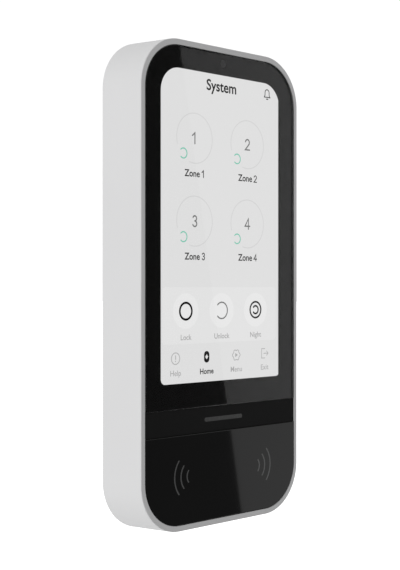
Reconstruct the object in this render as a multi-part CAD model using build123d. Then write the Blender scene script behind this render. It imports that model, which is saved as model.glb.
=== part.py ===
"""Wall-mounted touchscreen alarm keypad, as separate pieces.

Frame, in millimetres: X across the front (right positive), Y into the wall, Z up.
The origin is the middle of the wall face, so every Y value inside the keypad is negative.
"""
from build123d import *
import os

# ---- driving dimensions of the whole keypad ----
FRONT_W, FRONT_H = 80.7, 171.3  # outline at the front rim
FRONT_R, REAR_R = 17.9, 18.1  # corner radius at the front rim and at the wall
SHELL_DEPTH = 19.4  # front rim to rear edge of the side walls
SHELL_SPREAD = 0.8  # how much each side wall widens towards the wall
WALL_GAP = 0.4  # rear edge of the side walls to the wall
RIM, RIM_END = 1.65, 2.0  # width of the white rim at the sides, and at the top and bottom
LEDGE = 1.5  # width of the ledge behind the glass, inside the rim
WALL = 2.0  # side wall thickness

# ---- layers, as Y positions from the front to the wall ----
Y_FRONT = -(SHELL_DEPTH + WALL_GAP)
Y_GLASS_BACK = Y_FRONT + 1.1
Y_PRINT = Y_GLASS_BACK + 0.02  # a clear bond line lies between the glass and the print
Y_PRINT_BACK = Y_PRINT + 0.06
Y_SEAT = Y_FRONT + 1.5  # what the glass is bonded to
Y_SEAT_BACK = Y_SEAT + 1.0
Y_FLANGE_BACK = Y_SEAT_BACK + 1.0
Y_DISPLAY = Y_FRONT + 1.86  # front of the display
Y_TRAY_BACK = Y_FRONT + 4.2
Y_BOARD, Y_BOARD_BACK = -13.8, -12.6
Y_COVER, Y_COVER_BACK = -4.4, -2.9
Y_PLATE = -2.0  # front of the wall plate

# ---- front face ----
PANEL_GAP = 0.1  # glass to rim
GLASS_ROUND = 0.3  # rounding of the edges of both front panels
EDGE_GAP = 0.06  # band to glass and to reader panel
BAND_TOP, BAND_BOTTOM = -43.3, -52.25
BAND_RECESS = 0.35
WINDOW_TOP, WINDOW_BOTTOM, WINDOW_W = 75.7, -34.3, 61.6
WINDOW_R_TOP, WINDOW_R_BOTTOM = 8.8, 2.0
SENSOR_Z, SENSOR_R = 79.9, 1.5
MARK_X, MARK_Z = 15.6, -66.9  # centre of each set of contactless arcs
MARK_RADII, MARK_HALF_ANGLE, MARK_STROKE = (3.2, 6.15, 9.2), 39, 0.55
MARK_DEPTH = 0.05
LIGHT_Z, LIGHT_W, LIGHT_H = -47.8, 19.6, 1.5

# ---- display stack ----
TRAY_TOP, TRAY_BOTTOM, TRAY_W = 77.6, -38.0, 66.0
TRAY_SHEET = 0.3

# ---- inside ----
BOSS_X, BOSS_R = 33.8, 2.8
BOSS_ZS = (62.0, 8.0, -30.0, -60.0)
BOARD_TAB_X, BOARD_TAB_ZS, BOARD_TAB_H = 28.5, (38.0, -6.0), 7.0
BOARD_W, BOARD_TOP, BOARD_BOTTOM, BOARD_R = 61.4, 81.0, -34.0, 12.0
CELL_R, CELL_L, CELL_PITCH = 5.15, 44.5, 10.5
CELL_ZS = tuple(-44.2 - CELL_PITCH * row for row in range(4))
CELL_Y = -9.85
BAY_W, BAY_TOP, BAY_BOTTOM = 26.0, 6.0, -28.0  # wiring bay
SCREW_R, SCREW_CLEARANCE = 0.95, 0.05

# ---- wall side ----
LIFT = 7.0  # how far the keypad slides up to come off the hooks
HOOK_X, HOOK_ZS, HOOK_W = 22.0, (48.0, -14.0), 8.0
HOOK_STEM, HOOK_LIP = 2.0, 4.0  # height of the stem, and of the lip above it
SLOT_H = HOOK_STEM + LIFT + 0.5
PLATE_W, PLATE_TOP, PLATE_BOTTOM, PLATE_R = 73.0, 79.0, -75.5, 12.0
WALL_SCREW_X, WALL_SCREW_Z, WALL_SCREW_R = 26.0, 62.0, 2.15
CABLE_W, CABLE_TOP, CABLE_BOTTOM = 18.0, -8.0, -26.0
EAR_W, EAR_Z, EAR_T, EAR_FRONT = 9.6, -84.95, 1.0, -11.0
LOCK_Y, LOCK_R = -8.0, 1.45  # axis and radius of the holding screw
TAMPER_X, TAMPER_Z = 18.0, 27.0
POWER_X, POWER_Z = -18.0, 27.0

parts = {}


def keep(name, *solids):
    """Files one piece, or a group of identical pieces, under its name."""
    flat = [s for piece in solids for s in piece.solids()]
    parts[name] = flat[0] if len(flat) == 1 else Compound(children=flat)


def slab(profile, front, back):
    """A profile drawn in X and Z, made solid from the Y of its front to the Y of its back."""
    return extrude(Plane.XZ.offset(-back) * profile, amount=back - front)


def block(x0, x1, front, back, z0, z1):
    """A rectangular block."""
    return Pos((x0 + x1) / 2, (front + back) / 2, (z0 + z1) / 2) * Box(x1 - x0, back - front, z1 - z0)


def rod(x, z, radius, front, back):
    """A round bar along Y."""
    return slab(Pos(x, z) * Circle(radius), front, back)


def plate(width, top, bottom, radius, front, back, x=0.0):
    """A slab with rounded corners between two heights."""
    outline = RectangleRounded(width, top - bottom, radius)
    return slab(Pos(x, (top + bottom) / 2) * outline, front, back)


def front_outline(inset, corner=FRONT_R):
    """The front outline, moved in all round."""
    return RectangleRounded(FRONT_W - 2 * inset, FRONT_H - 2 * inset, corner - inset)


def opening(inset):
    """The outline of the opening that the rim leaves for the glass, moved in all round."""
    width, height = FRONT_W - 2 * (RIM + inset), FRONT_H - 2 * (RIM_END + inset)
    return RectangleRounded(width, height, FRONT_R - RIM - inset)


def drafted(inset, front, back):
    """The body of the shell between two depths, wider towards the wall, moved in all round."""
    sections = []
    for y in (front, back):
        share = (y - Y_FRONT) / SHELL_DEPTH
        spread, corner = SHELL_SPREAD * share, FRONT_R + (REAR_R - SHELL_SPREAD - FRONT_R) * share
        sections.append(Plane.XZ.offset(-y) * front_outline(inset - spread, corner))
    return loft(sections)


def window(grow, radius_top=WINDOW_R_TOP, radius_bottom=WINDOW_R_BOTTOM):
    """The outline of the lit area, with wide top corners and tight bottom ones."""
    width, height = WINDOW_W + 2 * grow, WINDOW_TOP - WINDOW_BOTTOM + 2 * grow
    outline = Pos(0, (WINDOW_TOP + WINDOW_BOTTOM) / 2) * Rectangle(width, height)
    rows = outline.vertices().group_by(Axis.Y)
    outline = fillet(rows[-1], radius_top + grow)
    low = outline.vertices().group_by(Axis.Y)[0]
    return fillet(low, radius_bottom + grow)


def band_of(sketch, top, bottom):
    """The part of an outline that lies between two heights."""
    return sketch & (Pos(0, (top + bottom) / 2) * Rectangle(2 * FRONT_W, top - bottom))


def ribbon(points, x0, x1, thickness=0.15):
    """A flat flexible tail: a bent strip that follows (Z, Y) points."""
    path = Polyline([(y, z) for z, y in points])
    strip = offset(path, thickness / 2, side=Side.BOTH)
    face = make_face(strip.edges()) if not strip.faces() else strip
    return extrude(Plane((x0, 0, 0), x_dir=(0, 1, 0), z_dir=(1, 0, 0)) * face, amount=x1 - x0)


def corners(x, zs):
    """Places at both sides, once for each height."""
    return [(side * x, z) for side in (-1, 1) for z in zs]


def screw(x, z, radius, head_r, head_front, head_back, tip):
    """A flat-headed screw along Y, put in from the back, with a cross slot in its head."""
    body = rod(x, z, radius, tip, head_front) + rod(x, z, head_r, head_front, head_back)
    slot_w, slot_l, slot_d = head_r * 0.28, head_r * 1.2, (head_back - head_front) * 0.6
    for width, height in ((slot_l, slot_w), (slot_w, slot_l)):
        body -= slab(Pos(x, z) * Rectangle(width, height), head_back - slot_d, head_back)
    return body


# ---- outer pieces ----


def make_front_shell():
    """White shell: rim, seat for the glass, four drafted walls, open at the back."""
    front_round, rear_round = 0.35, 0.3
    body = drafted(0, Y_FRONT, -WALL_GAP)
    body = fillet(body.faces().sort_by(Axis.Y)[0].edges(), front_round)
    body = fillet(body.faces().sort_by(Axis.Y)[-1].edges(), rear_round)
    body -= slab(opening(0), Y_FRONT, Y_SEAT)
    body -= slab(opening(LEDGE), Y_SEAT, Y_SEAT_BACK)
    body -= drafted(WALL, Y_SEAT_BACK, -WALL_GAP)
    notch, notch_front = EAR_W / 2 + 0.7, EAR_FRONT - 0.5
    body -= block(-notch, notch, notch_front, 0, -FRONT_H, -FRONT_H / 2 + WALL + 1)
    rail_w, rail_t, rail_l, rail_front = 1.0, 0.8, 40.0, Y_COVER_BACK + 0.1
    for side in (-1, 1):
        x = side * (FRONT_W / 2 - WALL + 0.25)
        rail_x0, rail_x1 = x - rail_w / 2, x + rail_w / 2
        body += block(rail_x0, rail_x1, rail_front, rail_front + rail_t, -rail_l / 2, rail_l / 2)
    keep("front_shell", body)


def make_glass():
    """Upper cover glass, its black print, its adhesive and the tinted sensor window."""
    outline = band_of(opening(PANEL_GAP), FRONT_H, BAND_TOP + EDGE_GAP)
    glass = slab(outline, Y_FRONT, Y_GLASS_BACK)
    keep("display_glass", fillet(glass.faces().sort_by(Axis.Y)[0].edges(), GLASS_ROUND))

    eye = Pos(0, SENSOR_Z) * Circle(SENSOR_R)
    margin = 0.03  # bare edge of the glass round the print
    black = band_of(opening(PANEL_GAP + margin), FRONT_H, BAND_TOP + EDGE_GAP + margin)
    black = black - window(0) - eye
    keep("glass_print", slab(black, Y_PRINT, Y_PRINT_BACK))
    keep("light_sensor_window", slab(eye, Y_PRINT, Y_PRINT_BACK))

    tape_inset, side_tape, low_tape = 0.6, 1.45, 1.0
    outer = band_of(opening(tape_inset), FRONT_H, BAND_TOP + tape_inset)
    inner = band_of(opening(tape_inset + side_tape), FRONT_H, BAND_TOP + tape_inset + low_tape)
    keep("glass_adhesive", slab(outer - inner, Y_PRINT_BACK, Y_SEAT))


def make_band():
    """Recessed matte band with the slot for the status light."""
    width = FRONT_W - 2 * (RIM + PANEL_GAP)
    middle = (BAND_TOP + BAND_BOTTOM) / 2
    outline = Pos(0, middle) * Rectangle(width, BAND_TOP - BAND_BOTTOM - 2 * EDGE_GAP)
    fit = 0.1
    outline -= Pos(0, LIGHT_Z) * SlotOverall(LIGHT_W + fit, LIGHT_H + fit)
    keep("status_band", slab(outline, Y_FRONT + BAND_RECESS, Y_SEAT))
    guide = slab(Pos(0, LIGHT_Z) * SlotOverall(LIGHT_W, LIGHT_H), Y_FRONT + BAND_RECESS, Y_SEAT + 0.3)
    keep("status_light_guide", guide)


def contactless_arcs(side):
    """Three nested arcs that bulge outwards, on one side of the reader panel."""
    arcs = []
    facing = 180 if side < 0 else 0
    for radius in MARK_RADII:
        line = CenterArc((side * MARK_X, MARK_Z), radius, facing - MARK_HALF_ANGLE, 2 * MARK_HALF_ANGLE)
        arcs.append(SlotArc(line, MARK_STROKE))
    return arcs


def make_reader_panel():
    """Lower gloss panel with the printed arcs let into its face, and its adhesive."""
    outline = band_of(opening(PANEL_GAP), BAND_BOTTOM - EDGE_GAP, -FRONT_H)
    panel = slab(outline, Y_FRONT, Y_GLASS_BACK)
    panel = fillet(panel.faces().sort_by(Axis.Y)[0].edges(), GLASS_ROUND)
    arcs = contactless_arcs(-1) + contactless_arcs(1)
    for arc in arcs:
        panel -= slab(arc, Y_FRONT, Y_FRONT + MARK_DEPTH)
    keep("reader_panel", panel)
    keep("reader_marks", *[slab(arc, Y_FRONT, Y_FRONT + MARK_DEPTH) for arc in arcs])
    tape_inset, tape_w = 0.6, 1.8
    outer = band_of(opening(tape_inset), BAND_BOTTOM - tape_inset, -FRONT_H)
    inner = band_of(opening(tape_inset + tape_w), BAND_BOTTOM - tape_inset - tape_w, -FRONT_H)
    keep("panel_adhesive", slab(outer - inner, Y_GLASS_BACK, Y_SEAT))


# ---- display and mid frame ----


def make_display():
    """Lit panel, backlight and sheet metal tray, with a foam gasket to the glass."""
    play, panel_t = 0.1, 1.1
    edge = TRAY_SHEET + play
    top, bottom, half = TRAY_TOP - edge, TRAY_BOTTOM + edge, TRAY_W / 2 - edge
    y_light = Y_DISPLAY + panel_t
    keep("display_panel", block(-half, half, Y_DISPLAY, y_light, bottom, top))
    keep("display_backlight", block(-half, half, y_light, Y_TRAY_BACK - TRAY_SHEET, bottom, top))
    tray = block(-TRAY_W / 2, TRAY_W / 2, Y_DISPLAY + 0.3, Y_TRAY_BACK, TRAY_BOTTOM, TRAY_TOP)
    y_floor = Y_TRAY_BACK - TRAY_SHEET
    tray -= block(-half - play, half + play, Y_DISPLAY, y_floor, bottom - play, top + play)
    keep("display_tray", tray)
    gasket_in, gasket_out = 0.8, 1.7  # from the edge of the window
    gasket = window(gasket_out, WINDOW_R_TOP - 1, 1.0) - window(gasket_in)
    keep("display_gasket", slab(gasket, Y_PRINT_BACK, Y_DISPLAY))


def make_mid_frame():
    """Black frame behind the glass: seat, flange, perimeter wall, screw bosses and board tabs."""
    cavity, wall_t = WALL + 0.15, 1.2
    seat = slab(opening(LEDGE + 0.2), Y_SEAT, Y_SEAT_BACK)
    flange = slab(front_outline(cavity), Y_SEAT_BACK, Y_FLANGE_BACK)
    wall = slab(front_outline(cavity) - front_outline(cavity + wall_t), Y_FLANGE_BACK, Y_COVER - 0.1)
    frame = seat + flange + wall
    hole, hole_bottom = TRAY_W / 2 + 0.2, TRAY_BOTTOM - 4
    frame -= block(-hole, hole, Y_SEAT - 1, Y_FLANGE_BACK, hole_bottom, TRAY_TOP + 0.2)
    reader_bay = band_of(front_outline(6.5), hole_bottom + 0.1, -FRONT_H)
    frame -= slab(reader_bay, Y_SEAT_BACK, Y_FLANGE_BACK)
    frame -= slab(Pos(0, LIGHT_Z) * SlotOverall(LIGHT_W + 0.4, LIGHT_H + 0.4), Y_SEAT, Y_SEAT_BACK)
    frame -= rod(0, SENSOR_Z, SENSOR_R + 0.05, Y_SEAT, Y_FLANGE_BACK)
    inner_face = FRONT_W / 2 - cavity - 0.4
    boss_front, boss_back, boss_bore = Y_TRAY_BACK + 0.2, Y_COVER - 0.95, -12.0
    for side in (-1, 1):
        for z in BOSS_ZS:
            boss = rod(side * BOSS_X, z, BOSS_R, boss_front, boss_back)
            low, high = sorted((side * BOSS_X, side * inner_face))
            frame += boss + block(low, high, boss_front, boss_back, z - BOSS_R, z + BOSS_R)
            frame -= rod(side * BOSS_X, z, SCREW_R + SCREW_CLEARANCE, boss_bore, Y_COVER)
        for z in BOARD_TAB_ZS:
            low, high = sorted((side * (BOARD_TAB_X - 1.8), side * inner_face))
            frame += block(low, high, Y_TRAY_BACK + 0.1, Y_BOARD, z - BOARD_TAB_H / 2, z + BOARD_TAB_H / 2)
            frame -= rod(side * BOARD_TAB_X, z, SCREW_R + SCREW_CLEARANCE, Y_TRAY_BACK, Y_BOARD)
    nut_w, nut_front, nut_back, nut_top = 9.0, -11.5, -5.0, -81.6
    frame += block(-nut_w / 2, nut_w / 2, nut_front, nut_back, -FRONT_H / 2 + cavity + 0.3, nut_top)
    frame -= Pos(0, LOCK_Y, nut_top - 0.9) * Cylinder(LOCK_R + SCREW_CLEARANCE, 6)
    keep("mid_frame", frame)
    pipe = rod(0, SENSOR_Z, SENSOR_R, Y_PRINT_BACK, Y_BOARD - 0.9)
    keep("sensor_light_pipe", pipe)


# ---- electronics ----


def gull_wing_chip(x, z, size, height):
    """A square chip body on the back of the board, with a row of short leads on each edge."""
    low, high = Y_BOARD_BACK, Y_BOARD_BACK + height
    body = block(x - size / 2, x + size / 2, low, high, z - size / 2, z + size / 2)
    pitch, reach, lead_w, lead_t = 1.4, 0.6, 0.5, 0.3
    count = int((size - 1.4) // pitch)
    lead = (low, low + lead_t)
    for step in range(count):
        along = (step - (count - 1) / 2) * pitch
        for sign in (-1, 1):
            edge = sorted((sign * size / 2, sign * (size / 2 + reach)))
            body += block(x + edge[0], x + edge[1], *lead, z + along - lead_w / 2, z + along + lead_w / 2)
            body += block(x + along - lead_w / 2, x + along + lead_w / 2, *lead, z + edge[0], z + edge[1])
    return body


def make_main_board():
    """Main circuit board and the parts soldered to it."""
    outline = Pos(0, (BOARD_TOP + BOARD_BOTTOM) / 2) * Rectangle(BOARD_W, BOARD_TOP - BOARD_BOTTOM)
    outline = fillet(outline.vertices().group_by(Axis.Y)[-1], BOARD_R)
    board = slab(outline, Y_BOARD, Y_BOARD_BACK)
    for x, z in corners(BOARD_TAB_X, BOARD_TAB_ZS):
        board -= rod(x, z, SCREW_R + 0.15, Y_BOARD, Y_BOARD_BACK)
    keep("main_board", board)
    head_r, head_back, tip = 1.9, Y_BOARD_BACK + 1.0, Y_TRAY_BACK + 0.3
    places = corners(BOARD_TAB_X, BOARD_TAB_ZS)
    keep("board_screws", *[screw(x, z, SCREW_R, head_r, Y_BOARD_BACK, head_back, tip) for x, z in places])
    keep("processor", gull_wing_chip(x=-3.0, z=63.0, size=11.0, height=1.2))
    keep("memory_chip", gull_wing_chip(x=-17.0, z=68.0, size=7.0, height=1.0))
    keep("light_sensor", block(-1.2, 1.2, Y_BOARD - 0.8, Y_BOARD, SENSOR_Z - 1.0, SENSOR_Z + 1.0))
    sockets = []
    for (x0, x1), (z0, z1) in (
        ((-7.2, 7.2), (-16.0, -12.0)),  # display tail
        ((-20.6, -11.4), (-31.5, -28.0)),  # touch tail
        ((26.4, 30.6), (-31.5, -28.0)),  # reader tail
    ):
        sockets.append(block(x0, x1, Y_BOARD - 1.0, Y_BOARD, z0, z1))
    keep("board_connectors", *sockets)


def make_radio():
    """Shield can with a rolled edge and vent holes, and two bent metal antennas."""
    x, z, width, height, tall = 14.0, 61.0, 18.0, 15.0, 2.4
    top = Y_BOARD_BACK + tall
    can = block(x - width / 2, x + width / 2, Y_BOARD_BACK, top, z - height / 2, z + height / 2)
    can = fillet(can.edges().group_by(Axis.Y)[-1], 0.5)
    half_w, half_h = width / 2 - 0.25, height / 2 - 0.25
    can -= block(x - half_w, x + half_w, Y_BOARD_BACK, top - 0.25, z - half_h, z + half_h)
    for column in range(5):
        for row in range(4):
            can -= rod(x + (column - 2) * 3.0, z + (row - 1.5) * 3.0, 0.45, top - 0.3, top)
    keep("radio_shield", can)

    antennas = []
    for side in (-1, 1):
        x0, x1 = sorted((side * 6.0, side * 19.0))
        foot = side * 6.0
        arm = block(x0, x1, Y_BOARD_BACK + 3.2, Y_BOARD_BACK + 3.6, 74.5, 77.5)
        leg_low, leg_high = sorted((foot, foot + side * 0.4))
        antennas.append(arm + block(leg_low, leg_high, Y_BOARD_BACK, Y_BOARD_BACK + 3.6, 74.5, 77.5))
    keep("radio_antennas", *antennas)


def make_buzzer():
    """Round sounder with a sound hole."""
    x, z, radius, tall = 0.0, 27.0, 6.5, 4.0
    can = rod(x, z, radius, Y_BOARD_BACK, Y_BOARD_BACK + tall)
    can = fillet(can.edges().group_by(Axis.Y)[-1], 0.5)
    keep("buzzer", can - rod(x, z, 1.0, Y_BOARD_BACK + 1, Y_BOARD_BACK + tall))


def make_reader():
    """Card reader board with its square coil, ferrite sheet, indicator lights and tail."""
    y0, y1 = Y_SEAT_BACK, Y_SEAT_BACK + 0.8
    inset = 8.0
    outline = band_of(front_outline(inset), BAND_BOTTOM + inset, -FRONT_H)
    keep("reader_board", slab(outline, y0, y1))
    line, pitch, copper_t = 0.8, 1.5, 0.08
    turns = []
    for turn in range(4):
        width, height = 46.0 - 2 * pitch * turn, 22.0 - 2 * pitch * turn
        inner = RectangleRounded(width - 2 * line, height - 2 * line, 2.2)
        loop = RectangleRounded(width, height, 3.0) - inner
        turns.append(slab(Pos(0, MARK_Z) * loop, y1, y1 + copper_t))
    keep("reader_coil", *turns)
    y2, ferrite_t, half_h = y1 + copper_t, 0.2, 11.2
    keep("reader_ferrite", plate(50.0, MARK_Z + half_h, MARK_Z - half_h, 2.0, y2, y2 + ferrite_t))
    led_w, led_h, led_t = 1.6, 1.0, 0.6
    places = (-6.0, 0.0, 6.0)
    leds = [Pos(x, y0 - led_t / 2, LIGHT_Z) * Box(led_w, led_t, led_h) for x in places]
    keep("status_leds", *leds)


def make_tails():
    """Flat flexible tails from the glass, the display and the reader to the main board."""
    back = Y_TRAY_BACK + 0.075
    slot = Y_BOARD - 0.6
    keep("display_flex", ribbon([(-36, back), (-26, back), (-22, slot), (-16.1, slot)], -7, 7))
    glass = Y_PRINT_BACK + 0.075
    keep("touch_flex", ribbon([(-41.6, glass), (-38.45, glass), (-38.45, slot), (-31.6, slot)], -20, -12))
    reader = Y_SEAT_BACK + 0.875
    keep("reader_flex", ribbon([(-50, reader), (-42, reader), (-39.3, slot), (-31.6, slot)], 27.0, 30.2))


# ---- switches and buttons ----


def make_tamper():
    """Sprung pin that rests on the wall plate, and the switch that it works."""
    x, z = TAMPER_X, TAMPER_Z
    body = block(x - 3, x + 3, Y_BOARD_BACK, -9.6, z - 3, z + 3) - rod(x, z, 0.95, -11.4, -9.6)
    keep("tamper_switch", body)
    pin = rod(x, z, 1.6, -6.4, Y_PLATE) + rod(x, z, 2.3, -6.6, -5.8) + rod(x, z, 0.9, -10.2, -6.4)
    pin = fillet(pin.edges().group_by(Axis.Y)[-1], 0.4)
    keep("tamper_plunger", pin)
    wire, coil_r, tall = 0.18, 1.7, 2.4
    path = Helix(0.8, tall, coil_r, center=(x, -9.2, z), direction=(0, 1, 0))
    section = Plane(path @ 0, z_dir=path % 0) * Circle(wire)
    keep("tamper_spring", sweep(section, path))


def make_power_button():
    """Flush round button on the back, and the switch under it."""
    x, z = POWER_X, POWER_Z
    body = block(x - 3, x + 3, Y_BOARD_BACK, -9.4, z - 3, z + 3) - rod(x, z, 0.95, -11.4, -9.4)
    keep("power_switch", body)
    cap = rod(x, z, 3.2, -5.0, Y_COVER_BACK - 0.05) + rod(x, z, 4.0, -5.4, -4.6)
    cap += rod(x, z, 0.9, -10.2, -5.0)
    cap = fillet(cap.edges().group_by(Axis.Y)[-1], 0.3)
    keep("power_button", cap)


def make_terminals():
    """Four-way supply socket in the wiring bay, its pull-out plug and the plug's wire screws."""
    half, z_joint = 8.0, -5.0
    header = block(-half, half, Y_BOARD_BACK, -5.6, z_joint, z_joint + 9.0)
    header -= block(-half + 1.0, half - 1.0, -11.4, -6.8, z_joint, z_joint + 7.0)
    keep("terminal_header", header)
    nose = block(-half + 1.3, half - 1.3, -11.1, -7.1, z_joint - 1, z_joint + 4.5)
    body = block(-half, half, -12.2, -5.6, z_joint - 9.0, z_joint - 0.1)
    body = fillet(body.edges().filter_by(Axis.Z), 0.4)
    plug = nose + body
    screws = []
    for way in range(4):
        x = (way - 1.5) * 3.6
        plug -= rod(x, z_joint - 4.5, 1.35, -8.6, -5.6)
        plug -= block(x - 1.1, x + 1.1, -10.9, -8.9, z_joint - 9.0, z_joint - 4.0)
        head = rod(x, z_joint - 4.5, 1.25, -8.6, -6.4)
        head -= slab(Pos(x, z_joint - 4.5) * Rectangle(2.6, 0.5), -7.2, -6.4)
        screws.append(head)
    keep("terminal_plug", plug)
    keep("terminal_screws", *screws)


# ---- back of the keypad ----


def hook_pocket(x, z):
    """Closed pocket behind one hook slot."""
    low, high = z + HOOK_STEM - SLOT_H - 1.3, z + HOOK_LIP + HOOK_STEM + 1.2
    outer = block(x - 5.6, x + 5.6, -7.9, Y_COVER, low, high)
    return outer, block(x - 4.7, x + 4.7, -7.1, Y_COVER, low + 0.9, high - 0.9)


def make_rear_cover():
    """Back of the keypad: hook pockets, wiring bay, battery opening and screw pads."""
    cover = slab(front_outline(WALL - 0.25), Y_COVER, Y_COVER_BACK)
    cover = chamfer(cover.edges().group_by(Axis.Y)[-1], 0.3)
    bay_mid, bay_h = (BAY_TOP + BAY_BOTTOM) / 2, BAY_TOP - BAY_BOTTOM
    bay = Pos(0, bay_mid) * RectangleRounded(BAY_W + 2, bay_h + 2, 2.0)
    hole = Pos(0, bay_mid) * RectangleRounded(BAY_W, bay_h, 1.0)
    cover += slab(bay, Y_BOARD_BACK + 0.3, Y_COVER)
    cover -= slab(hole, Y_BOARD_BACK, Y_COVER_BACK)
    pad_front, head_seat = Y_COVER - 0.9, Y_COVER_BACK - 1.2
    for x, z in corners(BOSS_X, BOSS_ZS):
        cover += rod(x, z, 2.95, pad_front, Y_COVER)
        cover -= rod(x, z, SCREW_R + 0.2, pad_front, Y_COVER_BACK)
        cover -= rod(x, z, 2.3, head_seat, Y_COVER_BACK)
    for x, z in corners(HOOK_X, HOOK_ZS):
        outer, inner = hook_pocket(x, z)
        cover = cover + outer - inner - slot_in_cover(x, z)
    for x, z, radius in ((TAMPER_X, TAMPER_Z, 1.65), (POWER_X, POWER_Z, 3.25)):
        cover -= rod(x, z, radius, Y_COVER, Y_COVER_BACK)
    cover -= plate(54.6, -33.4, -82.0, 2.5, Y_COVER_BACK - 0.8, Y_COVER_BACK)
    cover -= plate(52.0, -38.4, -81.2, 2.0, Y_COVER, Y_COVER_BACK)
    for x in (-20.0, 20.0):
        cover += rod(x, -36.0, 2.3, Y_COVER - 3.0, Y_COVER)
        cover -= rod(x, -36.0, SCREW_R + SCREW_CLEARANCE, Y_COVER - 2.6, Y_COVER_BACK)
    cover -= plate(34.0, 73.0, 55.5, 1.5, Y_COVER_BACK - 0.25, Y_COVER_BACK)
    keep("rear_cover", cover)
    keep("rating_label", plate(33.2, 72.6, 55.9, 1.2, Y_COVER_BACK - 0.25, Y_COVER_BACK - 0.1))
    places, head_back, tip = corners(BOSS_X, BOSS_ZS), Y_COVER_BACK - 0.15, -11.5
    keep("rear_cover_screws", *[screw(x, z, SCREW_R, 2.0, head_seat, head_back, tip) for x, z in places])


def slot_in_cover(x, z):
    """The opening that one hook passes through; its top edge rests on the hook's stem."""
    return block(x - 4.4, x + 4.4, Y_COVER, Y_COVER_BACK, z + HOOK_STEM - SLOT_H, z + HOOK_STEM)


def make_battery():
    """Tray, four round cells, end contacts, springs and the screwed cover."""
    low, high = CELL_ZS[-1] - CELL_R - 0.25, CELL_ZS[0] + CELL_R + 0.1
    floor_front, floor_back = -15.9, CELL_Y - CELL_R - 0.1
    tray = plate(52.4, high, low, 1.5, floor_front, floor_back)
    for side in (-1, 1):
        inner, outer = sorted((side * 25.4, side * 26.2))
        tray += block(inner, outer, floor_back, Y_COVER - 0.2, low + 3.0, high)
    for z in [(a + b) / 2 for a, b in zip(CELL_ZS, CELL_ZS[1:])]:
        for x in (-12.0, 12.0):
            rib = Pos(x, z) * Rectangle(5.0, 1.6)
            tray += slab(rib, floor_back, floor_back + 1.3) - cell_rows(0.15)
    keep("battery_tray", tray)
    keep("battery_cells", *[cell(row) for row in range(4)])
    plates, springs = [], []
    for row, z in enumerate(CELL_ZS):
        for side in (-1, 1):
            inner, outer = sorted((side * 24.9, side * 25.3))
            plates.append(block(inner, outer, floor_back + 0.3, Y_COVER - 0.6, z - 4.4, z + 4.4))
        flip = 1 if row % 2 else -1
        path = Helix(1.5, 4.7, 2.6, center=(flip * 24.6, CELL_Y, z), direction=(-flip, 0, 0))
        section = Plane(path @ 0, z_dir=path % 0) * Circle(0.25)
        springs.append(sweep(section, path))
    keep("battery_contacts", *plates)
    keep("battery_springs", *springs)
    cover = plate(54.2, -33.6, -81.8, 2.3, Y_COVER_BACK - 0.8, Y_COVER_BACK)
    cover += plate(51.6, -38.6, -81.0, 1.8, Y_COVER + 0.05, Y_COVER_BACK - 0.8)
    cover = chamfer(cover.edges().group_by(Axis.Y)[-1], 0.2)
    for x in (-20.0, 20.0):
        cover -= rod(x, -36.0, SCREW_R + 0.2, Y_COVER, Y_COVER_BACK)
    grip = [block(-8, 8, Y_COVER_BACK - 0.4, Y_COVER_BACK, z - 0.4, z + 0.4) for z in (-74.0, -75.8, -77.6)]
    for groove in grip:
        cover -= groove
    keep("battery_cover", cover)
    screws = [screw(x, -36.0, SCREW_R, 1.8, Y_COVER_BACK, Y_COVER_BACK + 0.6, -6.8) for x in (-20.0, 20.0)]
    keep("battery_cover_screws", *screws)


def cell_rows(grow):
    """The space of the four cells, a little larger."""
    rows = [Pos(0, CELL_Y, z) * Rot(0, 90, 0) * Cylinder(CELL_R + grow, CELL_L) for z in CELL_ZS]
    return rows[0] + rows[1:]


def cell(row):
    """One round cell with its button end, turned round on every other row."""
    flip = 1 if row % 2 else -1
    body_l, button_l = CELL_L - 1.0, 1.0
    can = Cylinder(CELL_R, body_l)
    can = fillet(can.edges(), 0.5)
    whole = can + Pos(0, 0, body_l / 2 + button_l / 2) * Cylinder(1.9, button_l)
    shift = -flip * (24.9 - 22.25)
    return Pos(shift, CELL_Y, CELL_ZS[row]) * Rot(0, -90 * flip, 0) * Pos(0, 0, -button_l / 2) * whole


# ---- wall plate ----


def hook(x, z):
    """One upturned hook on the wall plate."""
    stem = block(x - HOOK_W / 2, x + HOOK_W / 2, -6.2, Y_PLATE, z, z + HOOK_STEM)
    lip = block(x - HOOK_W / 2, x + HOOK_W / 2, -6.2, -4.7, z, z + HOOK_STEM + HOOK_LIP)
    lip = chamfer(lip.edges().filter_by(Axis.X).group_by(Axis.Z)[-1], 0.5)
    return stem + lip


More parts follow.
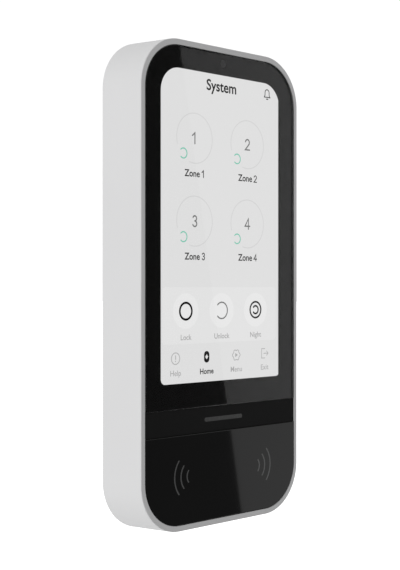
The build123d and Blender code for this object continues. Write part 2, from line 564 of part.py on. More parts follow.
def make_mounting_plate():
    """Wall plate: hooks, screw holes, cable opening, cable grooves, tear-off tab and locking ear."""
    body = plate(PLATE_W, PLATE_TOP, PLATE_BOTTOM, PLATE_R, Y_PLATE, 0)
    body = fillet(body.edges().group_by(Axis.Y)[0], 0.3)
    body += block(-EAR_W / 2, EAR_W / 2, Y_PLATE, 0, EAR_Z, PLATE_BOTTOM + 5)
    body += block(-EAR_W / 2, EAR_W / 2, EAR_FRONT, Y_PLATE, EAR_Z, EAR_Z + EAR_T)
    body -= Pos(0, LOCK_Y, EAR_Z) * Cylinder(LOCK_R + 0.2, 6)
    for x, z in corners(HOOK_X, HOOK_ZS):
        body += hook(x, z)
    for x, z in corners(WALL_SCREW_X, (WALL_SCREW_Z, -WALL_SCREW_Z)):
        body -= rod(x, z, WALL_SCREW_R, Y_PLATE, 0)
        body -= countersink(x, z)
    body -= plate(CABLE_W, CABLE_TOP, CABLE_BOTTOM, 1.5, Y_PLATE, 0)
    groove_w, groove_d = 7.0, 1.1
    body -= block(-groove_w / 2, groove_w / 2, -groove_d, 0, CABLE_TOP - 1, PLATE_TOP)
    body = tear_off_tab(body)
    for z in (4.0, 36.0, 44.0):
        for x in (-11.0, 11.0):
            body -= slab(Pos(x, z) * SlotOverall(8.0, 2.2), Y_PLATE, 0)
    for x, z in corners(18.0, (-44.0, -52.0)):
        body -= slab(Pos(x, z) * SlotOverall(14.0, 2.4), Y_PLATE, 0)
    keep("mounting_plate", body)
    shank_l, head_r, head_l, socket_r, socket_d = 3.15, 2.5, 0.9, 1.2, 0.5
    shank = Pos(0, LOCK_Y, EAR_Z + shank_l / 2) * Cylinder(LOCK_R, shank_l)
    head = Pos(0, LOCK_Y, EAR_Z - head_l / 2) * Cylinder(head_r, head_l)
    socket = Pos(0, LOCK_Y, EAR_Z - head_l) * Cylinder(socket_r, 2 * socket_d)
    keep("holding_screw", shank + head - socket)


def countersink(x, z):
    """The conical seat of a wall screw's head, in the front of the plate."""
    depth = 0.9
    cone = Cone(WALL_SCREW_R, WALL_SCREW_R + 1.8, depth)
    return Pos(x, Y_PLATE + depth / 2, z) * Rot(90, 0, 0) * cone


def tear_off_tab(body):
    """Cuts the slits round the tab that stays on the wall if the plate is forced off."""
    x, z, half_w, half_h, bridge = TAMPER_X, TAMPER_Z - 4.5, 6.5, 9.5, 1.2
    for sign in (-1, 1):
        body -= slab(Pos(x, z + sign * half_h) * SlotOverall(2 * (half_w - bridge), 1.0), Y_PLATE, 0)
        upright = Pos(x + sign * half_w, z) * Rot(0, 0, 90) * SlotOverall(2 * (half_h - bridge), 1.0)
        body -= slab(upright, Y_PLATE, 0)
    body -= rod(x, z - 3.5, WALL_SCREW_R, Y_PLATE, 0)
    return body - countersink(x, z - 3.5)


def main():
    os.makedirs("parts", exist_ok=True)
    for make in (
        make_front_shell, make_glass, make_band, make_reader_panel, make_display, make_mid_frame,
        make_main_board, make_radio, make_buzzer, make_reader, make_tails, make_tamper,
        make_power_button, make_terminals, make_rear_cover, make_battery, make_mounting_plate,
    ):
        make()
    for name, shape in parts.items():
        export_step(shape, f"parts/{name}.step")


main()
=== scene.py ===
"""Looks of the wall-mounted touchscreen alarm keypad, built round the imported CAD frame.

X runs across the front, Y into the wall and Z up, and the origin is the middle of the wall face. The grain
of the materials and the picture on the screen are in millimetres, which MM turns into Blender's metres.
The camera, the floor and the lights are in metres.
"""
import math

import bmesh
import bpy
from mathutils import Matrix, Vector


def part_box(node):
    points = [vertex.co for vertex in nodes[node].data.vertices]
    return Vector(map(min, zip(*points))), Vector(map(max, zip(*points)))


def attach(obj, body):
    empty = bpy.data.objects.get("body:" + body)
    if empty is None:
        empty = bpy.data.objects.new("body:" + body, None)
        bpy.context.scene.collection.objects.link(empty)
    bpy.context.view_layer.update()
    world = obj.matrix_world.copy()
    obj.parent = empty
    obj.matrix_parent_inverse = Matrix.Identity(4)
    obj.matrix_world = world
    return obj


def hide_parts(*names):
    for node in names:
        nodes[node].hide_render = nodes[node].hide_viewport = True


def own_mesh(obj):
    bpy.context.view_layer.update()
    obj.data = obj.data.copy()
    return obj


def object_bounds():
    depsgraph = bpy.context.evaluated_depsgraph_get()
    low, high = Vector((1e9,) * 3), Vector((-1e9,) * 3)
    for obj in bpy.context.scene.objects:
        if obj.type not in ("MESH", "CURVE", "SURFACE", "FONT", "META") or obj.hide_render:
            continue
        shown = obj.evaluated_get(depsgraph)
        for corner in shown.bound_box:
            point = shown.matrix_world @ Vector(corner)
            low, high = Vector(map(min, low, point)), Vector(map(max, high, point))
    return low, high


MM = 0.001
WHITE = (1, 1, 1, 1)
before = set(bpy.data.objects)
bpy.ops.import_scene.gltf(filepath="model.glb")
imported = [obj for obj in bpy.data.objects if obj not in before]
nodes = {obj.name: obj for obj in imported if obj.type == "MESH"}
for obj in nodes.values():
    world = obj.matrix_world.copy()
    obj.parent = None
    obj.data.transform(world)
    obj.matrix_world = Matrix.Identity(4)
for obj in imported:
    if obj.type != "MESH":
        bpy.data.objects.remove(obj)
cad_low, cad_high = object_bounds()

Y_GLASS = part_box("display_glass")[0].y  # front face of the glass, in metres
Y_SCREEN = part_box("display_panel")[0].y / MM  # front face of the display panel, in millimetres


# ---- small tools ----


def linear(value):
    """An sRGB value from 0 to 255 as linear light."""
    v = value / 255
    return v / 12.92 if v <= 0.04045 else ((v + 0.055) / 1.055) ** 2.4


def rgb(red, green, blue):
    """A colour from sRGB values."""
    return (linear(red), linear(green), linear(blue), 1)


def grey(value):
    """A neutral colour from an sRGB value."""
    return rgb(value, value, value)


# ---- materials ----


def new_material(name):
    """A node material with its tree and its shader."""
    mat = bpy.data.materials.new(name)
    mat.use_nodes = True
    tree = mat.node_tree
    shader = tree.nodes["Principled BSDF"]
    return mat, tree, shader


def noise(tree, size_mm, detail=3.0, stretch=(1, 1, 1)):
    """Noise with features of about this size in millimetres, in the object's own space."""
    place = tree.nodes.new("ShaderNodeTexCoord")
    mapping = tree.nodes.new("ShaderNodeMapping")
    mapping.inputs["Scale"].default_value = [s / (size_mm * MM) for s in stretch]
    texture = tree.nodes.new("ShaderNodeTexNoise")
    texture.inputs["Scale"].default_value = 1.0
    texture.inputs["Detail"].default_value = detail
    tree.links.new(place.outputs["Object"], mapping.inputs["Vector"])
    tree.links.new(mapping.outputs["Vector"], texture.inputs["Vector"])
    return texture


def spread(tree, source, low, high):
    """Maps the middle of a noise to a range of values."""
    node = tree.nodes.new("ShaderNodeMapRange")
    node.inputs["From Min"].default_value = 0.3  # a noise seldom leaves 0.3 to 0.7
    node.inputs["From Max"].default_value = 0.7
    node.inputs["To Min"].default_value = low
    node.inputs["To Max"].default_value = high
    tree.links.new(source.outputs["Fac"], node.inputs["Value"])
    return node.outputs["Result"]


def colour_between(tree, source, low, high):
    """A colour that follows a noise from one tone to another."""
    node = tree.nodes.new("ShaderNodeMix")
    node.data_type = "RGBA"
    node.inputs["A"].default_value = low
    node.inputs["B"].default_value = high
    tree.links.new(spread(tree, source, 0, 1), node.inputs["Factor"])
    return node.outputs["Result"]


def bump(tree, shader, source, height_mm):
    """Relief of this height from a noise."""
    node = tree.nodes.new("ShaderNodeBump")
    node.inputs["Strength"].default_value = 1.0
    node.inputs["Distance"].default_value = height_mm * MM
    tree.links.new(source.outputs["Fac"], node.inputs["Height"])
    tree.links.new(node.outputs["Normal"], shader.inputs["Normal"])


def finish_of(name, colour, rough, tint=0.03, patch_mm=14.0, grain_mm=0.35, height_mm=0.004,
              rough_spread=0.04, stretch=(1, 1, 1), **sockets):
    """A surface with broad patches of tone, finer changes of gloss and a fine grain in relief."""
    mat, tree, shader = new_material(name)
    patches, grain = noise(tree, patch_mm), noise(tree, grain_mm, detail=2.0, stretch=stretch)
    low = [c * (1 - tint) for c in colour[:3]] + [1]
    high = [min(c * (1 + tint), 1) for c in colour[:3]] + [1]
    tree.links.new(colour_between(tree, patches, low, high), shader.inputs["Base Color"])
    gloss = spread(tree, grain, max(rough - rough_spread, 0.02), rough + rough_spread)
    tree.links.new(gloss, shader.inputs["Roughness"])
    if height_mm:
        bump(tree, shader, grain, height_mm)
    for socket, value in sockets.items():
        shader.inputs[socket.replace("_", " ")].default_value = value
    return mat


def clear_glass():
    """Coated cover glass: clear, with little reflection and the faintest unevenness in its gloss."""
    mat, tree, shader = new_material("cover_glass")
    shader.inputs["Base Color"].default_value = WHITE
    shader.inputs["Transmission Weight"].default_value = 1.0
    shader.inputs["IOR"].default_value = 1.45
    shader.inputs["Specular Tint"].default_value = (0.12, 0.12, 0.12, 1)  # its anti-glare coating
    smear = noise(tree, 30.0)
    tree.links.new(spread(tree, smear, 0.0, 0.004), shader.inputs["Roughness"])
    return mat


def lit(name, colour):
    """One tone of the lit picture."""
    mat, tree, shader = new_material(name)
    grid = noise(tree, 0.4)
    unlit = colour_between(tree, grid, (0.004, 0.004, 0.004, 1), (0.006, 0.006, 0.006, 1))
    tree.links.new(unlit, shader.inputs["Base Color"])
    tree.links.new(spread(tree, grid, 0.3, 0.4), shader.inputs["Roughness"])
    shader.inputs["Specular IOR Level"].default_value = 0.1
    shader.inputs["Emission Color"].default_value = colour
    shader.inputs["Emission Strength"].default_value = 1.02  # makes up for what the glass keeps back
    return mat


def paint(material, *names):
    """Gives CAD nodes their material."""
    for name in names:
        mesh = nodes[name].data
        mesh.materials.clear()
        mesh.materials.append(material)


# Settings that several finishes share. A socket's name has _ for each space.
polish = dict(rough=0.03, tint=0.1, patch_mm=30, height_mm=0, rough_spread=0.008)
metal = dict(Metallic=1.0)
behind_glass = dict(Specular_IOR_Level=0.26)
moulded = dict(grain_mm=0.45)

# The outside of the keypad.
shell_white = (0.80, 0.80, 0.805, 1)
satin = finish_of("white_shell", shell_white, 0.42, tint=0.012, patch_mm=40, grain_mm=0.25, height_mm=0.0012)
paint(satin, "front_shell")
paint(clear_glass(), "display_glass")
paint(finish_of("screen_print", grey(14), **polish, **behind_glass), "glass_print")
paint(finish_of("sensor_tint", grey(76), **polish, **behind_glass), "light_sensor_window")
paint(finish_of("gloss_black", grey(16), **polish), "reader_panel")
grained = dict(tint=0.08, grain_mm=0.18, height_mm=0.006, Specular_IOR_Level=0.2)
paint(finish_of("matte_band", grey(24), 0.6, **grained), "status_band")
paint(finish_of("light_guide", grey(74), 0.25, tint=0.05, height_mm=0), "status_light_guide")
paint(finish_of("mark_ink", grey(100), **polish), "reader_marks")

# The display, the frame behind it and the reader.
foam = finish_of("foam_tape", grey(20), 0.9, grain_mm=0.3, height_mm=0.03)
paint(foam, "glass_adhesive", "panel_adhesive", "display_gasket")
paint(finish_of("screen_edge", grey(16), 0.4, height_mm=0), "display_panel")
paint(finish_of("reflector", grey(220), 0.6), "display_backlight")
paint(finish_of("tray_steel", (0.6, 0.6, 0.61, 1), 0.3, stretch=(0.1, 1, 1), **metal), "display_tray")
black_nylon = finish_of("black_nylon", grey(34), 0.5, tint=0.1, grain_mm=0.4, height_mm=0.012)
paint(black_nylon, "mid_frame", "battery_tray")
paint(finish_of("clear_acrylic", (0.85, 0.87, 0.88, 1), 0.08, height_mm=0), "sensor_light_pipe")
paint(finish_of("black_mask", grey(28), 0.25, tint=0.2, patch_mm=5, grain_mm=0.8), "reader_board")
copper = finish_of("bare_copper", (0.75, 0.37, 0.22, 1), 0.3, tint=0.15, patch_mm=3, **metal)
paint(copper, "reader_coil", "radio_antennas")
paint(finish_of("ferrite_sheet", grey(70), 0.7, tint=0.1, grain_mm=0.2), "reader_ferrite")
paint(finish_of("led_lens", (0.9, 0.86, 0.55, 1), 0.2, height_mm=0), "status_leds")
amber = finish_of("polyimide", (0.42, 0.17, 0.02, 1), 0.3, tint=0.1, patch_mm=4)
paint(amber, "display_flex", "touch_flex", "reader_flex")

# The main board and what is soldered to it.
green_mask = finish_of("solder_mask", (0.01, 0.085, 0.04, 1), 0.25, tint=0.2, patch_mm=5, grain_mm=0.8)
paint(green_mask, "main_board")
epoxy = finish_of("chip_epoxy", grey(30), 0.55, grain_mm=0.2, height_mm=0.006)
paint(epoxy, "processor", "memory_chip", "light_sensor", "tamper_switch", "power_switch")
paint(finish_of("ivory_nylon", (0.7, 0.66, 0.55, 1), 0.45), "board_connectors")
paint(finish_of("tinned_can", (0.7, 0.7, 0.7, 1), 0.28, stretch=(0.15, 1, 1), **metal), "radio_shield")
paint(finish_of("sounder_plastic", grey(32), 0.5), "buzzer")
green_nylon = finish_of("green_nylon", (0.03, 0.22, 0.08, 1), 0.4, tint=0.08)
paint(green_nylon, "terminal_header", "terminal_plug")

# Buttons, springs, screws, battery and back.
paint(finish_of("grey_nylon", grey(120), 0.45), "tamper_plunger", "power_button")
nickel = finish_of("nickel", (0.66, 0.64, 0.6, 1), 0.22, tint=0.08, patch_mm=2, **metal)
paint(nickel, "tamper_spring", "battery_springs", "battery_contacts")
zinc = finish_of("zinc_screw", (0.6, 0.6, 0.62, 1), 0.32, tint=0.15, patch_mm=1.0, **metal)
paint(zinc, "board_screws", "terminal_screws", "rear_cover_screws", "battery_cover_screws", "holding_screw")
textured = finish_of("cover_plastic", (0.42, 0.42, 0.43, 1), 0.55, height_mm=0.02, **moulded)
paint(textured, "rear_cover", "battery_cover")
paint(finish_of("label_film", (0.82, 0.82, 0.8, 1), 0.3, tint=0.02), "rating_label")
paint(finish_of("cell_jacket", (0.05, 0.07, 0.11, 1), 0.25, tint=0.2, patch_mm=6), "battery_cells")
pale_plastic = finish_of("plate_plastic", (0.62, 0.62, 0.625, 1), 0.5, tint=0.02, height_mm=0.018, **moulded)
paint(pale_plastic, "mounting_plate")


# ---- the spring of the tamper pin ----


def make_tamper_coil():
    """The spring as its own piece: a copy of the CAD spring, set on the keypad in its place."""
    coil = bpy.data.objects.new("tamper_coil", nodes["tamper_spring"].data.copy())
    bpy.context.scene.collection.objects.link(coil)
    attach(coil, "keypad")
    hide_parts("tamper_spring")
    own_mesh(coil)


make_tamper_coil()


# ---- tools for the picture on the screen, in millimetres of X and Z ----

LAYER = 0.012  # depth of one layer of the picture
LAYER_FILL = 0.8  # share of that depth that a piece takes up
CLEARANCE = 0.004  # from the panel to the first layer
GROUND, UNDER, DRAWN, OVER = range(4)  # the layers, from the panel forwards


def layer_back(layer):
    """The Y of the back of a layer of the picture."""
    return Y_SCREEN - CLEARANCE - layer * LAYER


def solid(name, polygons, material, layer):
    """Thin closed plates from flat polygons of (X, Z) points, on one layer of the picture."""
    back = layer_back(layer)
    front = back - LAYER * LAYER_FILL
    bm = bmesh.new()
    for polygon in polygons:
        bm.faces.new([bm.verts.new((x * MM, back * MM, z * MM)) for x, z in polygon])
    bmesh.ops.remove_doubles(bm, verts=bm.verts, dist=1e-7)  # so that neighbouring quads share their edges
    bmesh.ops.recalc_face_normals(bm, faces=bm.faces)
    raised = bmesh.ops.extrude_face_region(bm, geom=list(bm.faces))
    moved = [v for v in raised["geom"] if isinstance(v, bmesh.types.BMVert)]
    bmesh.ops.translate(bm, verts=moved, vec=(0, (front - back) * MM, 0))
    bmesh.ops.recalc_face_normals(bm, faces=bm.faces)
    mesh = bpy.data.meshes.new(name)
    bm.to_mesh(mesh)
    bm.free()
    show(name, mesh, material)


def show(name, mesh, material):
    """Puts a piece of the picture into the scene, on the keypad."""
    mesh.materials.append(material)
    piece = bpy.data.objects.new(name, mesh)
    bpy.context.scene.collection.objects.link(piece)
    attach(piece, "keypad")


def arc(x, z, radius, start, end, steps=48):
    """Points along an arc, in degrees from +X towards +Z."""
    angles = [math.radians(start + (end - start) * i / steps) for i in range(steps + 1)]
    return [(x + radius * math.cos(a), z + radius * math.sin(a)) for a in angles]


def stroke(points, width, closed=False):
    """The faces of a line of constant width, with mitred corners and round ends."""
    if closed:
        points = points[:-1] if math.dist(points[0], points[-1]) < 1e-6 else points
    count = len(points)
    left, right = [], []
    for i, (x, z) in enumerate(points):
        before = points[i - 1] if closed or i else points[i]
        after = points[(i + 1) % count] if closed or i < count - 1 else points[i]
        one = Vector((x - before[0], z - before[1]))
        two = Vector((after[0] - x, after[1] - z))
        one = one.normalized() if one.length > 1e-9 else two.normalized()
        two = two.normalized() if two.length > 1e-9 else one
        mean = (one + two).normalized()
        side = Vector((-mean.y, mean.x))
        reach = width / 2 / max(side.dot(Vector((-one.y, one.x))), 0.4)  # a mitre stops at 2.5 half widths
        left.append((x + side.x * reach, z + side.y * reach))
        right.append((x - side.x * reach, z - side.y * reach))
    last = count if closed else count - 1
    quads = []
    for i in range(last):
        j = (i + 1) % count
        quads.append([left[i], left[j], right[j], right[i]])
    if not closed:
        for end, inner in ((0, 1), (-1, -2)):
            across, up = points[end][0] - points[inner][0], points[end][1] - points[inner][1]
            turn = math.degrees(math.atan2(up, across))
            cap = arc(*points[end], width / 2, turn - 90, turn + 90, 8)
            cap[0], cap[-1] = (right[end], left[end]) if end else (left[end], right[end])
            quads.append(cap)
    return quads


def circle_line(x, z, radius, width, gap=0.0, gap_at=180.0):
    """A ring, or an open ring with its gap centred on an angle."""
    if gap:
        return stroke(arc(x, z, radius, gap_at + gap / 2, gap_at + 360 - gap / 2), width)
    return stroke(arc(x, z, radius, 0, 360), width, closed=True)


def disc(x, z, radius):
    """A filled circle."""
    return [arc(x, z, radius, 0, 360, 64)[:-1]]


def rounded(x0, x1, z0, z1, radius, steps=12):
    """A rectangle with rounded corners."""
    points = []
    for cx, cz, start in ((x1, z1, 0), (x0, z1, 90), (x0, z0, 180), (x1, z0, 270)):
        ix, iz = (cx - radius if cx == x1 else cx + radius), (cz - radius if cz == z1 else cz + radius)
        points += arc(ix, iz, radius, start, start + 90, steps)
    return [points]


CAPITALS = 0.682  # height of the built-in font's capitals in a size of 1


def words(name, lines, material, layer):
    """Generic captions: (text, X of the middle, Z of the baseline, capital height, extra weight)."""
    half_depth = LAYER * LAYER_FILL / 2
    middle = layer_back(layer) - half_depth
    bm = bmesh.new()
    for text, x, z, cap, weight in lines:
        curve = bpy.data.curves.new(name, "FONT")
        curve.body, curve.align_x = text, "CENTER"
        curve.size = cap / CAPITALS
        curve.offset, curve.resolution_u, curve.extrude = weight, 4, half_depth
        holder = bpy.data.objects.new(name, curve)
        bpy.context.scene.collection.objects.link(holder)
        graph = bpy.context.evaluated_depsgraph_get()
        flat = bpy.data.meshes.new_from_object(holder.evaluated_get(graph))
        bpy.data.objects.remove(holder)
        for vert in flat.vertices:
            px, pz, depth = vert.co
            vert.co = ((x + px) * MM, (middle - depth) * MM, (z + pz) * MM)
        bm.from_mesh(flat)
        bpy.data.meshes.remove(flat)
    bmesh.ops.remove_doubles(bm, verts=bm.verts, dist=1e-8)
    bmesh.ops.recalc_face_normals(bm, faces=bm.faces)
    mesh = bpy.data.meshes.new(name)
    bm.to_mesh(mesh)
    bm.free()
    mesh.materials.clear()
    show(name, mesh, material)


def digit(number, x, z, height, width):
    """The strokes of a digit from 1 to 4, standing on z and centred on x."""
    shapes = {
        1: [[(-0.3, 0.74), (0.02, 1.0), (0.02, 0.0)]],
        2: [arc(0, 0.72, 0.28, 170, -38, 14) + [(-0.3, 0.0), (0.31, 0.0)]],
        3: [arc(0, 0.76, 0.24, 160, -90, 12), arc(0, 0.26, 0.26, 90, -160, 14)],
        4: [[(0.14, 0.0), (0.14, 1.0), (-0.34, 0.28), (0.34, 0.28)]],
    }
    faces = []
    for line in shapes[number]:
        faces += stroke([(x + height * px, z + height * pz) for px, pz in line], width)
    return faces


# ---- the picture on the screen ----

PICTURE_W, PICTURE_TOP, PICTURE_BOTTOM = 61.9, 77.0, -34.8
CARD_W, CARD_TOP, CARD_BOTTOM = 59.0, -0.7, -20.6  # lighter card under the mode buttons
TITLE_Z, TITLE_CAP = 69.9, 3.75
BELL_X, BELL_Z = 24.6, 71.95
ZONE_XS, ZONE_ZS, ZONE_R = (-13.7, 13.7), (51.95, 22.65), 8.85
ZONE_GAP_AT, ZONE_GAP = 225, 56  # where each zone's circle stays open, in degrees
ZONE_LINE = 0.34  # width of that circle's line
BADGE_DX, BADGE_DZ, BADGE_R, BADGE_LINE, BADGE_GAP = -5.6, -5.65, 1.75, 0.42, 90
NUMBER_CAP, NUMBER_LINE = 3.8, 0.52
NAME_DROP, NAME_CAP, NAME_LINE = 13.6, 2.35, 0.38
WORD_DX, DIGIT_DX = -1.2, 4.3  # middles of a name's word and digit from the middle of the name
MODE_XS, MODE_Z, MODE_R, MODE_NAME_Z, MODE_CAP = (-18.1, 0.0, 18.1), -9.1, 6.25, -19.2, 1.85
RING_R, INNER_RING_R = 2.95, 1.45  # rings of the mode icons
NAV_XS, NAV_Z, NAV_NAME_Z, NAV_CAP = (-23.1, -7.7, 7.7, 23.1), -25.55, -31.6, 1.9
FRAME_LINE = 0.28  # width of the lines of the exit icon


def draw_ground():
    """The pale ground of the picture, and the card."""
    half = PICTURE_W / 2
    ground = rounded(-half, half, PICTURE_BOTTOM, PICTURE_TOP, 0.3)
    solid("picture_base", ground, lit("picture_grey", grey(222)), GROUND)
    card = rounded(-CARD_W / 2, CARD_W / 2, CARD_BOTTOM, CARD_TOP, 1.6)
    solid("picture_card", card, lit("card_grey", grey(226)), UNDER)


def draw_zones():
    """Four zones, each an open circle with a number, a green badge in its gap and a name below."""
    zones = [(x, z) for z in ZONE_ZS for x in ZONE_XS]
    circles, badges, numbers, name_digits = [], [], [], []
    start, end = ZONE_GAP_AT + ZONE_GAP / 2, ZONE_GAP_AT - ZONE_GAP / 2 + 360
    for number, (x, z) in enumerate(zones, 1):
        circles += stroke(arc(x, z, ZONE_R, start, end, 72), ZONE_LINE)
        badges += circle_line(x + BADGE_DX, z + BADGE_DZ, BADGE_R, BADGE_LINE, gap=BADGE_GAP)
        numbers += digit(number, x, z - NUMBER_CAP / 2, NUMBER_CAP, NUMBER_LINE)
        name_digits += digit(number, x + DIGIT_DX, z - NAME_DROP, NAME_CAP, NAME_LINE)
    solid("zone_circles", circles, lit("line_grey", grey(209)), UNDER)
    solid("zone_badges", badges, lit("badge_green", rgb(114, 195, 171)), DRAWN)
    solid("zone_numbers", numbers, lit("number_grey", grey(118)), DRAWN)
    name_grey = lit("name_grey", grey(48))
    names = [("Zone", x + WORD_DX, z - NAME_DROP, NAME_CAP, 0.07) for x, z in zones]
    words("zone_names", names, name_grey, DRAWN)
    solid("zone_name_digits", name_digits, name_grey, DRAWN)


def draw_title():
    """The heading of the picture."""
    words("picture_title", [("System", 0, TITLE_Z, TITLE_CAP, 0.1)], lit("title_grey", grey(16)), DRAWN)


def draw_modes():
    """Three round buttons on the card, with a ring icon each, and their names."""
    left, middle, right = MODE_XS
    discs = []
    for x in MODE_XS:
        discs += disc(x, MODE_Z, MODE_R)
    solid("mode_discs", discs, lit("disc_grey", grey(231)), DRAWN)
    closed = circle_line(left, MODE_Z, RING_R, 0.8)
    solid("mode_icon_lock", closed, lit("icon_black", grey(4)), OVER)
    unlocked = circle_line(middle, MODE_Z, RING_R, 0.5, gap=88)
    solid("mode_icon_open", unlocked, lit("icon_grey", grey(116)), OVER)
    night = circle_line(right, MODE_Z, RING_R, 0.68) + circle_line(right, MODE_Z, INNER_RING_R, 0.66, gap=80)
    solid("mode_icon_night", night, lit("icon_dark", grey(20)), OVER)
    names = [(text, x, MODE_NAME_Z, MODE_CAP, 0.03) for text, x in zip(("Lock", "Unlock", "Night"), MODE_XS)]
    words("mode_names", names, lit("caption_grey", grey(165)), DRAWN)


def exclamation(x, z):
    """A ring with an exclamation mark."""
    dot = disc(x, z - 0.95, 0.22)
    return circle_line(x, z, 2.0, 0.3) + dot + stroke([(x, z + 1.0), (x, z - 0.2)], 0.34)


def gear(x, z):
    """A six-lobed wheel with a triangle in the middle."""
    outline = []
    for i in range(72):
        angle = 2 * math.pi * i / 72
        radius = 1.85 + 0.2 * math.cos(6 * angle)
        outline.append((x + radius * math.cos(angle), z + radius * math.sin(angle)))
    return stroke(outline, 0.3, closed=True) + [[(x - 0.55, z - 0.75), (x - 0.55, z + 0.75), (x + 0.8, z)]]


def leave(x, z):
    """An open frame with an arrow out of it."""
    bracket = [(x + 0.2, z + 1.75), (x - 1.6, z + 1.75), (x - 1.6, z - 1.75), (x + 0.2, z - 1.75)]
    shaft = [(x - 0.4, z), (x + 2.0, z)]
    head = [(x + 1.2, z + 0.8), (x + 2.05, z), (x + 1.2, z - 0.8)]
    return stroke(bracket, FRAME_LINE) + stroke(shaft, FRAME_LINE) + stroke(head, FRAME_LINE)


def draw_navigation():
    """The bottom row: three grey icons, one dark active pill with a small diamond, and their names."""
    first, active, third, last = NAV_XS
    caption = lit("nav_grey", grey(168))
    icons = exclamation(first, NAV_Z) + gear(third, NAV_Z) + leave(last, NAV_Z)
    solid("nav_icons", icons, caption, DRAWN)
    half_w, half_h = 1.35, 2.07
    pill = rounded(active - half_w, active + half_w, NAV_Z - half_h, NAV_Z + half_h, 1.3)
    solid("nav_active", pill, lit("active_black", grey(22)), DRAWN)
    wide, tall = 0.75, 0.9
    diamond = [(active, NAV_Z + tall), (active - wide, NAV_Z), (active, NAV_Z - tall), (active + wide, NAV_Z)]
    solid("nav_active_mark", [diamond], lit("mark_white", grey(225)), OVER)
    names = [("Help", first), ("Menu", third), ("Exit", last)]
    words("nav_names", [(text, x, NAV_NAME_Z, NAV_CAP, 0.02) for text, x in names], caption, DRAWN)
    home = [("Home", active, NAV_NAME_Z, NAV_CAP, 0.06)]
    words("nav_active_name", home, lit("active_grey", grey(46)), DRAWN)


def draw_bell():
    """A bell outline with its clapper."""
    x, z = BELL_X, BELL_Z
    top = arc(x, z + 0.45, 1.15, 180, 0, 16)
    body = [(x - 1.6, z - 1.25), (x - 1.15, z - 0.5)] + top + [(x + 1.15, z - 0.5), (x + 1.6, z - 1.25)]
    clapper = stroke([(x - 0.4, z - 1.95), (x + 0.4, z - 1.95)], 0.4)
    solid("picture_bell", stroke(body, 0.36, closed=True) + clapper, lit("bell_grey", grey(34)), DRAWN)


draw_ground()
draw_zones()
draw_title()
draw_modes()
draw_navigation()
draw_bell()


# ---- camera, floor and light ----


def add_camera():
    """A level camera, 45 degrees to the left of the front."""
    left, ahead, up = 0.30667, 0.29424, 0.00008  # from the middle of the front of the glass, in metres
    data = bpy.data.cameras.new("camera")
    data.lens, data.sensor_width, data.sensor_fit = 74.37, 36.0, "AUTO"  # lens and sensor are millimetres
    data.clip_start, data.clip_end = 0.01, 50.0
    camera = bpy.data.objects.new("camera", data)
    camera.location = (-left, Y_GLASS - ahead, up)
    camera.rotation_euler = (math.radians(90), 0, math.radians(-45))
    bpy.context.scene.collection.objects.link(camera)
    bpy.context.scene.camera = camera


def add_floor():
    """A pale floor a little below the keypad, as wide as a studio sweep, and clear from below."""
    radius, drop = 9.0, 0.045
    middle = (0, 0, cad_low.z - drop)
    bpy.ops.mesh.primitive_circle_add(vertices=96, radius=radius, fill_type="NGON", location=middle)
    floor = bpy.context.active_object
    floor.name = "floor"
    mat, tree, shader = new_material("pale_floor")
    pale = colour_between(tree, noise(tree, 400.0), (0.86, 0.86, 0.86, 1), (0.9, 0.9, 0.9, 1))
    tree.links.new(pale, shader.inputs["Base Color"])
    shader.inputs["Roughness"].default_value = 0.8
    shader.inputs["Specular IOR Level"].default_value = 0.0
    shader.inputs["Emission Color"].default_value = WHITE
    shader.inputs["Emission Strength"].default_value = 1.0
    under, clear = tree.nodes.new("ShaderNodeNewGeometry"), tree.nodes.new("ShaderNodeBsdfTransparent")
    either = tree.nodes.new("ShaderNodeMixShader")
    tree.links.new(under.outputs["Backfacing"], either.inputs["Fac"])
    tree.links.new(shader.outputs[0], either.inputs[1])
    tree.links.new(clear.outputs[0], either.inputs[2])
    tree.links.new(either.outputs[0], tree.nodes["Material Output"].inputs["Surface"])
    floor.data.materials.append(mat)
    floor.visible_glossy = floor.visible_diffuse = floor.visible_transmission = floor.visible_shadow = False


def even_light(name, width, height, radiance):
    """A rectangular light of an even brightness, which the camera doesn't see."""
    data = bpy.data.lights.new(name, "AREA")
    data.shape, data.size, data.size_y = "RECTANGLE", width, height
    data.energy = radiance * width * height * math.pi
    lamp = bpy.data.objects.new(name, data)
    lamp.visible_camera = False
    bpy.context.scene.collection.objects.link(lamp)
    return lamp


def add_left_softbox():
    """A large soft light that faces the left side of the keypad."""
    lamp = even_light("left_softbox", 6.0, 3.0, radiance=0.325)
    lamp.location = (-1.3, -0.1, 0.0)
    lamp.rotation_euler = Vector((1, 0, 0)).to_track_quat("-Z", "Y").to_euler()


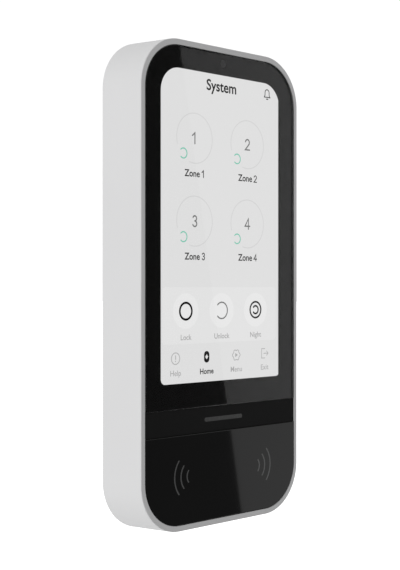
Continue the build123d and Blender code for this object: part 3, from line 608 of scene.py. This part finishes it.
def along_depth(tree, front, back):
    """A brightness that rises smoothly from in front of the keypad to behind it."""
    direction, axes = tree.nodes.new("ShaderNodeTexCoord"), tree.nodes.new("ShaderNodeSeparateXYZ")
    tree.links.new(direction.outputs["Generated"], axes.inputs["Vector"])
    ramp = tree.nodes.new("ShaderNodeMapRange")
    ramp.interpolation_type = "SMOOTHSTEP"
    reach = 0.5  # the rise takes this much of the direction's Y on each side of the middle
    for socket, value in (("From Min", -reach), ("From Max", reach), ("To Min", front), ("To Max", back)):
        ramp.inputs[socket].default_value = value
    tree.links.new(axes.outputs["Y"], ramp.inputs["Value"])
    return ramp.outputs["Result"]


def add_world(light, mirrored):
    """White to the camera; as light and in reflections, a bright room behind and a dim one in front."""
    world = bpy.data.worlds.new("studio")
    bpy.context.scene.world = world
    world.use_nodes = True
    tree = world.node_tree
    tree.nodes.clear()
    seen, soft, glossy = (tree.nodes.new("ShaderNodeBackground") for _ in range(3))
    for background in (seen, soft, glossy):
        background.inputs["Color"].default_value = WHITE
    seen.inputs["Strength"].default_value = 1.05
    tree.links.new(along_depth(tree, *light), soft.inputs["Strength"])
    tree.links.new(along_depth(tree, *mirrored), glossy.inputs["Strength"])
    path, output = tree.nodes.new("ShaderNodeLightPath"), tree.nodes.new("ShaderNodeOutputWorld")
    one, two = tree.nodes.new("ShaderNodeMixShader"), tree.nodes.new("ShaderNodeMixShader")
    tree.links.new(path.outputs["Is Glossy Ray"], one.inputs["Fac"])
    tree.links.new(soft.outputs[0], one.inputs[1])
    tree.links.new(glossy.outputs[0], one.inputs[2])
    tree.links.new(path.outputs["Is Camera Ray"], two.inputs["Fac"])
    tree.links.new(one.outputs[0], two.inputs[1])
    tree.links.new(seen.outputs[0], two.inputs[2])
    tree.links.new(two.outputs[0], output.inputs["Surface"])


def add_reflection_card():
    """A tall dim card to the right of the camera: the glass mirrors its slanting left edge."""
    edge = Vector((0.9142, -0.9225, 0.0012))  # middle of that edge
    along = Vector((-0.0624, 0, 0.3332)).normalized()  # up that edge, which leans to the left
    across = Vector((along.z, 0, -along.x))  # from that edge to the right
    width, height = 1.3, 2.2
    card = even_light("reflection_card", width, height, radiance=0.5)
    facing = Vector((0, -1, 0))
    card.matrix_world = Matrix((across, along, facing)).transposed().to_4x4()
    card.location = edge + across * width / 2


bpy.context.scene.view_settings.view_transform = "Standard"
add_camera()
add_floor()
add_world(light=(0.3, 0.96), mirrored=(0.09, 0.8))
add_left_softbox()
add_reflection_card()
